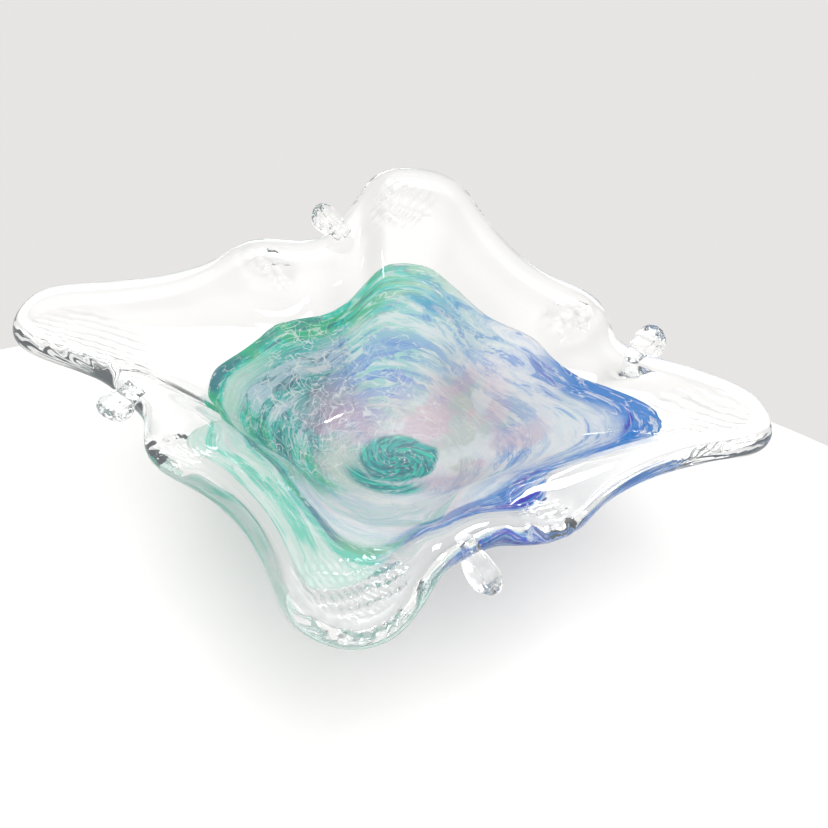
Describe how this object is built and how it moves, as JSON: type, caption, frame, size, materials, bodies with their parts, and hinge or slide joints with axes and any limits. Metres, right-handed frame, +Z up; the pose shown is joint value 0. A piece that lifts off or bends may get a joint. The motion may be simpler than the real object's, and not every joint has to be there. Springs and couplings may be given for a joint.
{
  "type": "art glass bowl",
  "caption": "Wide hot-worked glass bowl with a marbled colour layer cased in clear glass, a flared wavy rim, pulled corner lobes, pincered pads and curls.",
  "frame": {"origin": "middle of the ground foot's underside, on the table", "axes": "+Z up through the middle of the bowl; the corner lobes point along -X, +Y, +X and -Y"},
  "size_m": [0.3272, 0.3318, 0.0736],
  "materials": {
    "clear_glass": "fire-polished, clear",
    "waffled_glass": "clear, pincered with grooves and waffle marks",
    "green_glass": "streaked emerald green",
    "blue_glass": "streaked cobalt blue with white threads",
    "mint_glass": "pale mint and white streaks",
    "pink_glass": "pale pink and white veil"
  },
  "bodies": {
    "root": {"ground_foot": "clear_glass", "outer_casing": "clear_glass", "inner_lining": "clear_glass", "rosette": "green_glass", "pink_veil": "pink_glass", "mint_veil": "mint_glass", "green_band": "green_glass", "blue_band": "blue_glass", "mint_band": "mint_glass", "rim_northwest": "clear_glass", "rim_northeast": "clear_glass", "rim_southeast": "clear_glass", "rim_southwest": "clear_glass", "lobe_west": "waffled_glass", "lobe_north": "waffled_glass", "lobe_east": "waffled_glass", "lobe_south": "waffled_glass", "pad_northwest": "waffled_glass", "pad_northeast": "waffled_glass", "pad_southeast": "waffled_glass", "pad_southwest": "waffled_glass", "curl_northwest": "clear_glass", "curl_northeast": "clear_glass", "curl_southeast": "clear_glass", "curl_southwest": "clear_glass"}
  },
  "joints": []
}
